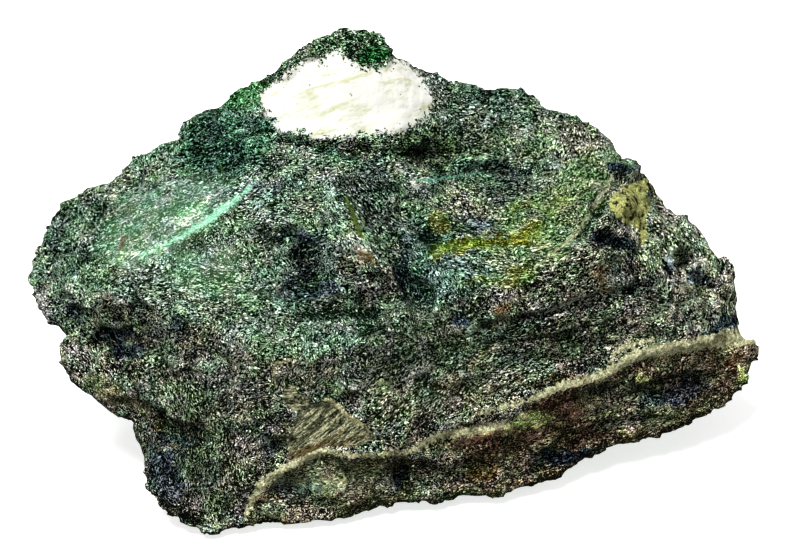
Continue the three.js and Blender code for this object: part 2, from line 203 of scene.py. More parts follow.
# Hollows and lumps of the break: an oval and its height
FORMS = [
    (-30.3, 61.3, 6.2, 3.9, 20, -1), (-18.5, 48.2, 4.6, 1.3, -5, -0.8), (-14.1, 44, 1.8, 3.6, -1),
    (-15.9, 39.4, 4.3, 1.3, -1), (-5.7, 48.5, 8.9, 1.5, -58, 0.9), (-0.2, 44.3, 7.5, 1.6, -62, -1),
    (-10.7, 58.4, 4.9, 1.5, 12, 0.8), (-46.1, 32.1, 3.3, 1.3, -1.5), (-45.1, 29.4, 2.1, 1.3, -0.9),
    (-52.8, 36.1, 1.5, 1.3, -0.9), (-35.9, 33.8, 1.5, 1.5, -0.7), (-42.6, 36.4, 2, 1.3, -1),
    (-50.3, 52.2, 2, 2.3, -1), (-54.9, 47.9, 1.3, 2.3, -0.8), (-49.5, 44.3, 6.6, 1.1, -8, 0.6),
    (-20.5, 32.3, 6.9, 2.3, -10, 0.8), (3.9, 38, 2.3, 2.3, -1.2), (-5.1, 36.4, 2.6, 2, -1),
    (-10.2, 63.1, 6.9, 0.8, -1.2), (7.1, 62.6, 4.3, 1.1, -0.6), (13.6, 60, 7.4, 0.5, 3, -0.9),
    (19.4, 57.6, 6.2, 0.5, -0.8), (12, 51.8, 3.3, 0.8, -0.9), (31, 52.5, 4.6, 1, 60, 1),
    (34.4, 47.9, 4.3, 1.5, -20, -1.5), (37.7, 59.2, 2.3, 1.3, 1.2), (38.5, 54.3, 2.6, 2.3, -30, 0.8),
    (44.9, 47.9, 6.2, 1, -45, 1.3), (52, 41.8, 4.9, 1, -58, 1.3), (45.3, 44, 3, 1.6, -40, -1.3),
    (50.2, 40, 3, 1.1, -60, -1.2), (-18.5, 14.1, 2.1, 1.5, -1.3), (-17.1, 7.1, 3.3, 1.6, -0.8),
    (0.8, 9.5, 1.5, 2.3, 10, -0.8), (-37.6, 16.4, 4.6, 2, -55, -0.9), (-29.7, 15.1, 6.6, 2.1, 80, 0.6),
    (16.9, 33.1, 3.9, 2, 8, -0.9), (26.7, 38, 5.9, 1.1, 18, 0.7), (-7.7, 21.6, 2, 1.6, -0.9),
    (12, 26.6, 6.6, 1.6, 15, 0.6), (31.7, 15.1, 9.8, 1.5, 20, -1), (23.5, 10.2, 4.9, 1.6, 15, -0.8),
    (46.4, 24.1, 8.2, 1.5, 12, -0.9), (58.4, 29.8, 1.6, 1.5, 1.3), (-56.9, 36.1, 1.8, 2.6, 1.2),
    (-54.3, 29.5, 1.3, 2, 0.9), (-38, 4.9, 3.3, 2.3, -40, 0.8), (-1.8, 81, 1.5, 1.5, -1),
    (46.9, 51.8, 1.5, 1, -0.8), (30, 66.6, 1.8, 1.1, -30, 0.9), (-13.9, 78.7, 2.3, 1.1, 20, 1),
    (-18.9, 74.8, 3.3, 1, 25, 0.6), (-2.3, 81.5, 2.1, 1.5, -1.5), (-14.9, 80.2, 2, 1.3, 30, -0.8),
    (47.1, 52.2, 1.5, 0.8, -0.8), (45.1, 45.3, 1.1, 1.5, 0.8), (47.6, 45.1, 0.7, 2, -1.2),
    (51, 41, 0.7, 1.5, -1), (32.8, 53.1, 1.1, 1.6, -0.7), (-6.6, 46.9, 1.1, 2.6, 48, 0.7),
    (-11.8, 36.1, 4.3, 1.3, -0.7), (-4.4, 33, 2.3, 1.5, -0.6), (11.5, 33.8, 2.1, 1.6, 0.6),
    (5.6, 47.9, 1.5, 2, -0.6),
]
# Where the break is rougher, or smoother below zero: an oval and the change in roughness
RUGGED = [
    (-37, 51, 13, 6, 25, -0.45), (-55, 40, 7, 12, 20, 0.35), (-44, 31, 9, 6, -20, 0.5),
    (44, 47, 12, 9, -45, 0.5), (29, 63, 5, 6, -30, 0.4), (27, 30, 18, 8, 14, -0.3),
]

# Tones of the stone as the picture shows them: the dark ground and the flecks on it (sRGB, in percent),
# how thickly they lie (0 to 1) and the share of the studio's light that falls where the tone is seen
TONES = {
    "emerald": ((2, 8, 4), (81, 89, 84), 0.43, 1),
    "pine": ((1, 9, 4), (36, 68, 45), 0.43, 1),
    "jade": ((4, 16, 7), (61, 82, 70), 0.47, 1),
    "bottle": ((2, 7, 6), (60, 77, 76), 0.43, 1),
    "mint": ((27, 38, 30), (75, 79, 83), 0.52, 1),
    "sage": ((4, 10, 7), (85, 90, 90), 0.47, 1),
    "slate": ((1, 3, 4), (78, 86, 88), 0.4, 1),
    "umber": ((4, 3, 2), (90, 89, 92), 0.42, 1),
    "olive": ((2, 5, 1), (75, 80, 74), 0.42, 1),
    "teal": ((1, 8, 7), (74, 86, 90), 0.43, 1),
    "moss": ((10, 17, 6), (85, 89, 81), 0.47, 1),
    "mustard": ((25, 25, 3), (73, 74, 26), 0.45, 1),
    "lichen": ((4, 6, 5), (100, 100, 98), 0.5, 1),
    "fern": ((3, 7, 4), (51, 54, 52), 0.43, 0.6),
    "ash": ((3, 5, 4), (80, 77, 79), 0.44, 0.6),
    "coal": ((2, 3, 3), (52, 53, 52), 0.4, 0.6),
    "rust": ((8, 6, 4), (56, 46, 43), 0.46, 0.5),
    "ember": ((7, 6, 5), (67, 61, 57), 0.46, 0.5),
    "tan": ((12, 11.5, 8.5), (58, 57, 52), 0.48, 0.5),
    # ink is laid mostly over pits and hollows of the relief, where its darkness is partly painted shade
    "ink": ((0, 1, 1), (42, 51, 68), 0.32, 0.8),
    "grey": ((5, 9, 7), (87, 89, 99), 0.47, 1),
    # One navy patch lies just under the paint: painted shadow under the paint's lip
    "navy": ((1, 3, 6), (100, 100, 100), 0.5, 1),
    "orange": ((11, 8, 3), (58, 45, 29), 0.46, 0.6),
    "frost": ((40, 53, 43), (97, 100, 95), 0.6, 1),
    "cream": ((26, 27, 17), (95, 95, 74), 0.62, 0.6),
}

# Patches of tone on the display side, the later ones over the earlier: tone, oval and strength
PATCHES = [
    ("mint", -38, 52, 11.5, 5.6, 25, 1), ("mint", -42.1, 45.6, 5.6, 2.3, 12, 1),
    ("mint", -30.7, 44.3, 6.9, 2.3, -10, 0.7), ("frost", -33.9, 52.3, 4.3, 0.8, 38, 0.75),
    ("frost", -41.3, 46.2, 4.6, 0.8, 18, 0.6), ("sage", -38.9, 61, 6.6, 2, 24, 0.8),
    ("moss", 18.9, 62.6, 8.5, 3.6, 5, 0.4), ("mint", -29.8, 40.5, 9.8, 2.3, -12, 0.45),
    ("emerald", -7.1, 79.7, 8.2, 4.3, 1), ("pine", -3.8, 77.7, 3, 1.6, -8, 1),
    ("umber", -16.6, 75.4, 4.9, 1.1, 33, 0.8), ("jade", -25.7, 71.5, 5.2, 3.3, 30, 1),
    ("bottle", -28.7, 64, 8.5, 5.6, 12, 1), ("slate", -54.9, 47.9, 3.9, 7.5, 20, 0.85),
    ("slate", -51.2, 53.1, 4.3, 1.5, 15, 0.8), ("umber", -37.6, 56.1, 1.3, 0.5, -20, 0.9),
    ("grey", -22.1, 55.8, 6.6, 2.3, 5, 0.7), ("slate", -4.1, 54.4, 4.3, 6.6, 0.8),
    ("ink", -15.9, 48.2, 4.9, 2, -5, 0.6), ("grey", -11.3, 55.1, 2.3, 5.6, 10, 0.8),
    ("slate", -15.1, 42.6, 6.9, 4.3, -10, 0.8), ("umber", -4.8, 42.6, 5.6, 5.2, -20, 1),
    ("ink", 1.1, 43, 1.1, 5.2, 0.9), ("ink", -14.3, 38.7, 5.6, 1.6, 0.6),
    ("grey", -10.7, 55.1, 5.2, 1.3, -70, 0.7), ("orange", -5.4, 45.6, 2.3, 0.7, -25, 0.35),
    # The navy patch here is painted shadow under the paint's lip
    ("olive", -6.4, 49.9, 1.1, 3, -28, 0.7), ("navy", -7.4, 63.3, 9.8, 1.5, -3, 1),
    ("bottle", -9.3, 61.3, 8.2, 1.1, 0.6), ("olive", 7.1, 62.6, 8.5, 3.3, 4, 1),
    ("ink", 5.4, 62.3, 2.3, 1.1, 0.3), ("sage", 21.8, 65.6, 6.6, 1.3, 6, 0.8),
    ("grey", 13.6, 70.8, 7.5, 1.3, -6, 0.6), ("lichen", 29.7, 63.3, 4.3, 3.9, -35, 0.9),
    ("teal", 5.4, 44.3, 4.6, 7.9, 8, 0.9), ("teal", 12, 59, 9.8, 0.5, 4, 0.8),
    ("slate", 16.9, 59.7, 6.6, 1.3, 2, 0.8), ("slate", 17.7, 56.7, 5.6, 1.6, 0.6),
    ("lichen", 11.6, 53.5, 5.9, 3, 0.8), ("ink", 13.6, 50.8, 2.6, 1.1, 0.6),
    ("moss", 26.7, 53.6, 10.8, 4.9, 28, 1), ("moss", 20.2, 44.3, 8.9, 3.9, 14, 1),
    ("mustard", 16.1, 47.9, 8.2, 1.5, 10, 0.85), ("mustard", 7.1, 50.8, 2.1, 2.1, 30, 0.6),
    ("mustard", 8, 45.9, 3.3, 1.1, 0.6), ("mustard", 16.9, 42.1, 4.9, 1.5, 22, 0.5),
    ("mustard", 23.5, 54.1, 4.9, 1.1, 12, 0.35), ("teal", 12.3, 43.3, 4.9, 2, 0.7),
    ("moss", 31.7, 58.1, 4.3, 5.6, -40, 0.8), ("ink", 37.7, 59, 2.6, 1.5, 1),
]
FRONT_PATCHES = [
    ("fern", 5.4, 30.7, 14.8, 8.2, 8, 0.8), ("fern", -11, 25.7, 9.8, 4.3, 0.6),
    ("sage", -11, 31.8, 7.2, 1.6, 8, 0.6), ("grey", -22.5, 34.4, 7.2, 2.3, -12, 0.7),
    ("slate", -55.3, 37.2, 3.6, 4.3, 0.6), ("coal", -43.8, 33.1, 9.2, 4.6, -15, 0.9),
    ("orange", -37.9, 37.2, 3.3, 1.3, 0.6), ("orange", -31, 38, 1.6, 1, 0.4),
    ("fern", -31, 23.6, 11.5, 8.9, 0.5), ("coal", -31.5, 23, 5.9, 4.3, 0.45),
    ("coal", -33.6, 10.2, 4.6, 6.2, 0.7), ("coal", -36.4, 15.1, 5.6, 6.6, 15, 0.9),
    ("fern", -29.8, 8.5, 5.9, 4.9, 0.5), ("ink", -38, 8.9, 3.3, 4.3, 0.6),
    ("orange", -39.2, 17.7, 1.3, 1.6, 0.5), ("orange", -37.9, 13.8, 1.3, 1.3, 0.4),
    ("ink", -35.6, 14.8, 3.9, 1, 10, 0.6), ("umber", 26.7, 39.4, 13.8, 3.9, 18, 0.8),
    ("coal", 24.3, 31.5, 14.4, 3.6, 12, 0.9), ("ash", 45.1, 35.6, 9.8, 2, 12, 0.9),
    ("lichen", 47.1, 46.2, 7.2, 9.8, 35, 0.7), ("ink", 34.9, 47.9, 4.9, 1.5, -25, 0.9),
    ("ink", 50, 42.3, 1.1, 2.3, 10, 0.7), ("ink", 44.3, 44.3, 0.8, 2.3, 0.6),
    ("slate", 39.9, 39.7, 4.9, 1.6, -10, 0.6), ("tan", -45.8, 22.3, 6.2, 1.8, -34, 0.9),
    ("tan", 14.4, 29.5, 3.6, 1.5, 15, 0.6), ("orange", 16.9, 35.8, 1.6, 1.3, 30, 0.7),
    ("orange", 33.8, 42, 2, 1.3, -30, 0.6), ("orange", 48.4, 40.5, 1.1, 0.7, 0.5),
    ("orange", 26.7, 25.3, 6.6, 0.7, 10, 0.7), ("tan", 7.1, 21.6, 9.8, 2.6, 14, 0.5),
    ("ink", -46.2, 32.3, 3.3, 1.1, 5, 0.7), ("ink", -43.8, 29.5, 2, 1.3, 0.7),
    ("ink", -52.3, 36.1, 1.5, 1.3, 0.6), ("ink", -35.6, 33.9, 1.5, 1.6, 0.7),
    ("ink", -20.8, 14.1, 1.6, 2, 0.6), ("ink", 53, 34.1, 3, 1, 15, 0.9),
    ("ink", 10.7, 35.1, 1.6, 1.6, 0.7),
]
BAND_PATCHES = [
    ("tan", -8.5, 9.8, 13.1, 4.3, 3, 0.9), ("ash", 4.6, 8.9, 8.2, 3.6, 0.7),
    ("ink", -16.4, 6.6, 4.4, 2, 0.5), ("ink", 0.7, 8.9, 1.8, 2.6, 0.7),
    ("navy", 7.1, 12.5, 4.3, 1, 5, 0.7), ("rust", 20.2, 17.5, 11.5, 5.6, 20, 1),
    ("ink", 28.4, 12.5, 5.9, 2, 18, 0.9), ("orange", 13.6, 9.5, 3, 1.1, 10, 0.7),
    ("rust", 31.7, 16.1, 5.6, 1.3, 22, 0.9), ("coal", 36.6, 23, 5.6, 2.3, 18, 0.6),
    ("ash", 39.9, 20.3, 7.2, 1.6, 20, 0.7), ("ink", 46.4, 23.6, 6.6, 2.3, 18, 0.7),
    ("rust", 53.6, 25.6, 4.9, 3.3, 0.8), ("orange", 56.6, 27.9, 1.5, 2, 0.6),
    ("tan", 0.5, 5.2, 23, 1.1, 4, 0.6), ("tan", 43.1, 17.7, 14.8, 1.3, 24, 0.7),
    ("cream", 40.3, 24.8, 2, 0.5, 0.8), ("cream", 37.7, 16.6, 1.3, 0.5, 5, 0.7),
    ("cream", 21.3, 19, 4.3, 1.5, 5, 0.7), ("cream", 57.4, 25.9, 0.5, 2.3, -10, 0.8),
    ("cream", -24.1, 5.2, 0.7, 1.3, 0.8), ("cream", 13.3, 17.1, 4.3, 1, 16, 0.45),
    ("ash", -15.9, 3.9, 5.2, 1.6, 0.7),
]

# Tones that lie in clouds on the sides turned away from the picture, each with a seed for its clouds
HIDDEN_TONES = {"slate": 90, "moss": 97, "ash": 104, "umber": 111, "jade": 118, "coal": 125}

# Where the flecks lie thicker, or thinner below zero: an oval and the change in percent. The spots are
# partly the stone's own tone and partly painted light and shade: the shadow under the paint's lip, dark
# hollows and facets, and lit ridge crests
TONE_AND_PAINTED_SHADING = [
    (-11.8, 36.1, 4.6, 1.6, -28), (-4.4, 33, 2.5, 1.6, -28), (-8.5, 63.6, 7.9, 0.8, -14),
    (-20, 58.5, 3.6, 3.3, -13), (-2.5, 56.1, 2.3, 1.5, -17), (-9.3, 55.6, 1.8, 1.5, -13),
    (5.6, 47.9, 1.8, 2.1, -25), (-50, 46.2, 1.8, 2.3, -20), (-46.7, 52.3, 3.3, 1.6, -14),
    (-36.4, 52.3, 3, 1.3, 20, -15), (-53.6, 53.6, 1.5, 1.5, -16), (-44.9, 26.6, 2.3, 1.5, -30, -20),
    (-48.5, 31.2, 1.3, 2.1, -15), (-33.8, 26.2, 1.5, 3.9, -13), (-39, 25.6, 1.1, 3, -13),
    (-19.5, 18.7, 2.1, 1.6, -20), (-24.4, 15.4, 1.5, 1.3, -13), (3.8, 16.7, 2.5, 1.6, 40, -28),
    (24.3, 24.4, 3.3, 1.3, 5, -25), (32, 27.9, 5.2, 1.1, 10, -16), (32.8, 53.1, 1.3, 1.8, -25),
    (43.1, 49, 1.8, 1.3, -16), (47.6, 45.1, 0.8, 2.1, -25), (39, 43, 3, 1.1, -15),
    (13.6, 38.9, 5.6, 1.1, -16), (12.8, 43.3, 1.5, 1.1, -15), (16.9, 67.6, 2.1, 1, -17),
    (9.5, 65.9, 3, 1.5, -12), (11.2, 55.3, 2.6, 1, -15), (1.3, 61.7, 2.3, 1.8, -13),
    (-22.5, 47.1, 1.3, 0.8, -15), (26.7, 8.5, 4.3, 1.1, 28, -14), (21.8, 10.2, 2.6, 1.1, -12),
    (-23.3, 9.8, 1.8, 1.1, -15), (-35.9, 3.3, 3.9, 1.5, -35, -16), (-40.2, 8.5, 1, 3.3, -12),
    (48.4, 18.5, 3.3, 0.8, 20, -15), (29.2, 46.2, 3.9, 1.1, -13), (-5.2, 42.1, 2.8, 1.5, -12),
    (-0.3, 47.9, 1.5, 3.3, -13), (-32.3, 42, 3.6, 1, -13), (-56.1, 38.5, 1.8, 1.1, -14),
    (28.4, 65.9, 3, 2, -12), (-20, 1.5, 3.9, 0.7, -14), (-1.6, 4.1, 3.3, 0.8, 10, -14),
    (51, 41, 0.8, 1.6, -20), (38.5, 40, 2, 1.1, -14), (-20.5, 75.4, 2.6, 1.3, 35, -15),
    (2.5, 73.5, 1.6, 1.6, -12), (45.1, 45.3, 1.3, 1.6, 26), (50.3, 44, 1, 1, 15),
    (48.4, 41.7, 1, 0.8, 13), (51.5, 38.5, 0.8, 1.5, 12), (16.9, 50.2, 5.2, 1.6, 15),
    (25.1, 54.4, 3, 1.8, 20, 13), (21, 64.3, 3.6, 1.1, 18), (13.6, 61.5, 2.6, 1.3, 13),
    (35.1, 59.4, 1.8, 1.1, 12), (-10.2, 61, 2.8, 1.3, 15), (-14.3, 49.4, 3.6, 1, 18),
    (-6.6, 46.7, 1.5, 2.5, 50, 24), (-24.1, 37.2, 1.5, 1.3, 12), (-36.4, 44.3, 2.1, 1.1, 17),
    (-30.7, 53.3, 1.8, 0.8, 15), (-37.7, 61, 3, 1.6, 13), (-50.3, 38.9, 2.8, 1.6, 13),
    (-53.6, 29, 1.1, 1.5, 13), (4.6, 56.7, 1.1, 1.3, 15), (11.5, 33.8, 2.5, 2, 24),
    (16.9, 34.8, 1.3, 1.1, 15), (16.9, 17.7, 5.9, 1.5, 25, 17), (33.3, 21.3, 9, 1, 14, 12),
    (3.8, 25.3, 1.8, 1.5, 12), (-20, 25.7, 2.8, 1.1, 13), (-11.8, 8.9, 4.9, 1.6, 5, 18),
    (-5.7, 10.2, 2.6, 1.3, 14), (56.3, 28.7, 1.6, 1.5, 12), (23.6, 70.4, 2, 1.3, 35, 18),
    (42.8, 54, 1, 1.5, -50, 20), (9.5, 50.8, 2, 1.5, -17), (-51.7, 52, 1.3, 1, -14),
    (-31.5, 43, 2.3, 1.3, 14), (-5.2, 45.3, 2, 1.1, -45, 12), (-7.7, 48.5, 1.1, 1, -16),
    (16.9, 34.9, 1.8, 1.1, 12), (45.1, 44.3, 1.1, 1, 16), (48.9, 41.3, 1.3, 1.3, 15),
    (53, 39.7, 1.6, 1.5, -16), (51.7, 48.2, 1.6, 1.1, -45, -15), (12.8, 23.9, 1.3, 1.3, -12),
    (-33.1, 33.1, 2, 1.6, -11), (-47.4, 20.8, 2.6, 1.3, -40, 16), (12, 16.7, 3.3, 2, 16),
    (-12.6, 34.4, 1.6, 0.8, -12), (-14.3, 64.6, 3.9, 1.1, -20), (-3.6, 66.3, 2, 0.8, -15),
    (23.1, 62.6, 2.6, 1.6, -13), (35.8, 54.4, 1.6, 1.1, -12), (-41.8, 47.6, 2.1, 1, 13),
    (-39.5, 43, 1.1, 1.1, -16), (-49, 44.3, 2, 1.3, 30, -12), (-47.4, 40.2, 3, 1, -12),
    (-21.2, 10.8, 2.1, 1.3, -20), (-15.6, 4.8, 2.3, 1.1, -15), (-4.4, 35.9, 3.6, 1.1, -13),
    (-16.2, 35.1, 2.1, 1, -15), (6.2, 26.4, 1.5, 1, -15), (22.1, 26.6, 2.1, 1.1, -13),
    (21, 17.5, 2.8, 2.1, 16), (36.6, 24.4, 1.5, 1.3, 16), (45.6, 44.3, 1.1, 1.1, 20),
    (33.6, 41.7, 1, 2.6, 13), (-6.1, 45.3, 2, 1.3, -40, 16), (-9.7, 51.2, 1.1, 3.3, -65, -13),
    (-13.9, 48.5, 2.3, 0.8, 12), (-24.1, 55.8, 2.3, 1.1, -13), (-49.2, 35.6, 2.5, 2, 13),
    (-52, 26.6, 1.6, 1.3, -15), (-41.8, 26.6, 2.5, 1.3, -13), (-46.7, 22, 2.3, 1.3, -30, 13),
    (6.7, 20.2, 2.3, 1.1, -13), (12, 49.2, 1.5, 1, -12), (2.5, 50.8, 1.5, 1.3, -12),
    (-32.3, 61.8, 1.8, 2.5, -12), (-11.8, 55.8, 1.1, 3.6, 12, 13), (44.4, 44.9, 0.8, 0.8, 12),
    (-11, 8.5, 9.8, 3.3, 6, 11), (-13, 7.4, 3.6, 1.5, 8), (-18.4, 8.9, 2.3, 1.3, 30, 12),
    (-14.9, 44, 2.5, 3.6, 10, -14), (-10.5, 50.2, 1.5, 2, -35, 14), (1.1, 42.3, 1.3, 3.3, -12),
]

KEPT_OFF = 6  # mm added to the distance from a marking on the sides that don't show it

# Relief of the break: spacing and height in mm, and a seed for the noise
FACETS = [(7, 0.8, 0), (3.2, 0.45, 40)]
GRAINS = [(1.3, 0.1, 11), (0.8, 0.05, 23)]
TILT_SEED = 7
RIDGE_SPACING = 1.9
FLOW_RIDGE_SPACING = 1.6
RIDGE_HEIGHT = 0.36
RIDGE_RATIO = 6  # a ridge's length over its width
CHIP_DEPTH = 0.6
BAND_DEPTH = 0.7
LIP = 0.25  # height of the lip above a ledge over the ledge's depth
SMOOTHED = 0.8  # share of the relief that the paint and the chip go without

# Shifts that make edges ragged: spacing and reach in mm, and a seed for each direction
FACETS_DRIFT = (3, 0.8, (3, 5, 7))
FORMS_DRIFT = (2.2, 0.6, (13, 17))
PATCH_DRIFTS = [(5, 2.2, (50, 60)), (1.4, 1.1, (70, 80))]

CLOUD_SPACING = 14
CLOUD_STRENGTH = 0.8
UNDERSIDE_PAINTED_SHADE = 0.26  # painted shade: how much the flecks thin where the stone faces down
HIDDEN_GAIN = 0.07  # and what they gain on the hidden sides

# Zones where the fine strokes of the stone run different ways: direction, how drawn out, strokes a mm
STROKES = [
    (GRAIN_DIRECTION, 3, 7.6),
    ((-0.45, 0.65, 0.61), 2.2, 7.2),
    ((0.55, -0.2, 0.8), 2.2, 7.6),
]
FLOW_STROKES = (ALONG, 3.2, 7.6)
CHIPS_A_MM = 0.34
CHIPLETS_A_MM = 0.95
# Noise: lumps in a mm (in a metre for the paper), detail and roughness
NOISES = {
    "swirl": (0.3, 3, 0.6), "zone": (0.16, 2, 0.5), "fine": (4.6, 2, 0.85), "clumps": (0.3, 1.5, 0.6),
    "bands": (0.6, 1.5, 0.5), "flow bands": (0.65, 1.5, 0.5), "bend": (1.1, 3, 0.7),
    "hairs": (1.3, 2, 0.6), "cracks": (0.8, 2, 0.6), "warmth": (0.25, 4, 0.6), "yellow": (0.45, 2, 0.6),
    "edge": (1.6, 2, 0.5), "pits": (0.9, 3, 0.65), "fibres": (2.6, 3, 0.65), "grit": (2.4, 3, 0.8),
    "brush marks": (0.8, 4, 0.7), "paint edge": (0.8, 5, 0.75), "bare spots": (1.2, 3, 0.6),
    "daubs": (0.8, 3, 0.5), "paper": (6, 3, 0.5),
}
# Where a value steps from 0 to 1, or from the third number to the fourth
STEPS = {
    "third strokes": (0.54, 0.57), "first strokes": (0.47, 0.44), "flow strokes": (0.45, 0.55),
    "gaps": (0.1, 0), "crack_shade": (0.42, 0.56), "hairs": (0.36, 0.6, 0.35, 1),
    "cracks": (0.4, 0.6, 1, 0.2), "light": (1.84, 2.01), "painted_glint": (0.35, 0.85),
    "roughness": (0.1, 0.9, 0.8, 0.55), "warmth": (0.42, 0.66), "yellow": (0.5, 0.92),
    "grainy": (0.5, 0.9), "pits": (0.4, 0.48), "fibres": (0.44, 0.58), "stain": (1.7, 0.7),
    "chip's gaps": (1.4, 0.95), "grit": (0.4, 0.58), "brush marks": (0.48, 0.68),
    "paint edge": (0.42, 0.22), "worn edge": (-1.8, 0.2), "bare spots": (0.74, 0.7),
    "paper": (0.3, 0.7),
}
COOL_TO_WARM = ((0.8, 1.07, 0.8), (1.06, 1.02, 0.97))
PLAIN_TO_YELLOW = ((0.98, 1.02, 0.99), (1, 1.01, 0.79))

# The markings' colours (linear, 0 to 1), between their grains and on them
COLOURS = {
    "streak": ((0.2, 0.46, 0.31), (0.6, 0.98, 0.73)),
    "crust": ((0.22, 0.24, 0.07), (0.74, 0.75, 0.38)),
    "chip": ((0.03, 0.035, 0.015), (0.67, 0.67, 0.45)),
    "stained chip": ((0.03, 0.025, 0.01), (0.4, 0.31, 0.17)),
    "vein": ((0.2, 0.2, 0.09), (1, 1, 0.7)),
    "thread_and_highlight": ((0.35, 0.35, 0.35), (1.5, 1.5, 1.5)),  # times the line's own colour
    "paint": ((0.62, 0.62, 0.58), (0.47, 0.48, 0.34)),
}
# Painted shade in the crust's pits
CRUST_PIT_SHADE = (0.04, 0.04, 0.02)
# Painted shade in the vein's cracks
VEIN_CRACK_SHADE = (0.1, 0.09, 0.05)
# Their edges, in mm: half the width they fade over, how far they reach past their outline, and how
# much they wander
EDGES = {
    "streak": (0.3, 0, 1.1), "crust": (0.15, 0, 0.8), "chip": (0.15, 0, 0.7), "vein": (0.15, 0.05, 1.3),
    "thread_and_highlight": (0.14, 0, 0.8),
}
EDGE_WANDER = 1.6
PAINT_WANDER = 6

FLOOR_HALF = 4  # metres
FLOOR_TONES = ((0.78, 0.78, 0.78), (0.81, 0.81, 0.81))
WHITE = (1, 1, 1, 1)


def smoothstep(low, high, values):
    """Rises from 0 to 1 as the values go from low to high."""
    share = np.clip((values - low) / (high - low), 0, 1)
    return share * share * (3 - 2 * share)


def stretched(points, direction, ratio):
    """The points pressed together along a direction, so that noise read there is drawn out along it."""
    along = points @ direction
    return points - np.outer(along * (1 - 1 / ratio), direction)


def noise_at(points, spacing, seed=0.0):
    """Smooth noise from -1 to 1 with lumps about as far apart as spacing."""
    return np.array([noise.noise(Vector(p)) for p in points / spacing + seed])


def drift_at(points, spacing, reach, seeds):
    """Smooth shifts of up to about reach, in one direction for each seed."""
    return reach * np.stack([noise_at(points, spacing, seed) for seed in seeds], axis=1)


def facets_at(points, cell, seed):
    """Height of tilted facets, one to a cell of broken stone, from about -1 to 1."""
    heights = np.empty(len(points))
    for i, point in enumerate(points / cell + seed):
        middle = noise.voronoi(Vector(point))[1][0]
        tilt = (noise.cell_vector(middle * TILT_SEED) - Vector((0.5, 0.5, 0.5))) * 2
        heights[i] = tilt.dot(Vector(point) - middle)
    return heights


def as_seen(points):
    """Where the picture shows points of the shared frame: across and up, in picture mm."""
    from_target = points - SIGHT_TARGET
    distance = CAMERA_DISTANCE - from_target @ TO_CAMERA
    shown = np.stack([from_target[:, 0], from_target @ PICTURE_UP], axis=1)
    return PICTURE_CENTRE + shown * (PICTURE_SCALE * CAMERA_DISTANCE / distance)[:, None]


def along_and_aside(places, start, end):
    """How far along a stretch of line the places lie, from 0 to 1, and how far away from it."""
    a, b = np.array(start[:2]), np.array(end[:2])
    share = np.clip((places - a) @ (b - a) / ((b - a) @ (b - a)), 0, 1)
    return share, np.linalg.norm(places - a - share[:, None] * (b - a), axis=1)


def distance_to_line(places, line):
    """Distance from a line drawn in the picture, less the line's own half width."""
    nearest = np.full(len(places), np.inf)
    for start, end in zip(line, line[1:]):
        share, gap = along_and_aside(places, start, end)
        if len(start) > 2:
            gap = gap - (start[2] + share * (end[2] - start[2]))
        nearest = np.minimum(nearest, gap)
    return nearest


def distance_to_area(places, outline):
    """Distance from the edge of an area of the picture, negative inside it."""
    inside = np.zeros(len(places), bool)
    x, y = places[:, 0], places[:, 1]
    closed = outline + outline[:1]
    for (ax, ay), (bx, by) in zip(closed, closed[1:]):
        if ay == by:
            continue
        crosses = (ay > y) != (by > y)
        inside ^= crosses & (x < ax + (y - ay) * (bx - ax) / (by - ay))
    gap = distance_to_line(places, closed)
    return np.where(inside, -gap, gap)


def patch_mask(places, across, up, half_width, half_height, tilt=0):
    """1 in the middle of a tilted oval, 0 well outside it."""
    turn = math.radians(tilt)
    x = places[:, 0] - across
    y = places[:, 1] - up
    along = (x * math.cos(turn) + y * math.sin(turn)) / half_width
    aside = (y * math.cos(turn) - x * math.sin(turn)) / half_height
    return smoothstep(1.25, 0.65, np.hypot(along, aside))


def flow_of(points, places):
    """Coordinates that run along, then across the grain, and how surely a place lies in its flow."""
    depth = points @ TO_CAMERA
    flows = []
    for middle, oval in ARCS:
        offset = places - np.array(middle)
        along = np.arctan2(offset[:, 0], -offset[:, 1]) * math.dist(middle, oval[:2])
        flows.append((oval, along, np.linalg.norm(offset, axis=1)))
    for oval, rise in FLOWS:
        turn = math.radians(rise)
        along = places @ np.array([math.cos(turn), math.sin(turn)])
        flows.append((oval, along, places @ np.array([-math.sin(turn), math.cos(turn)])))

    coordinates = points
    strongest = np.zeros(len(points))
    second = np.zeros(len(points))
    for oval, along, across in flows:
        mask = patch_mask(places, *oval)
        stronger = mask > strongest
        second = np.where(stronger, strongest, np.maximum(second, mask))
        strongest = np.maximum(strongest, mask)
        coordinates = np.where(stronger[:, None], np.stack([along, across, depth], axis=1), coordinates)
    return coordinates, smoothstep(0.05, 0.35, strongest - second)


def new_object(name, data):
    thing = bpy.data.objects.new(name, data)
    bpy.context.scene.collection.objects.link(thing)
    return thing


def ease(skin, vertices):
    """Moves vertices towards the middle of their neighbours."""
    bmesh.ops.smooth_vert(
        skin, verts=vertices, factor=EASING, use_axis_x=True, use_axis_y=True, use_axis_z=True
    )


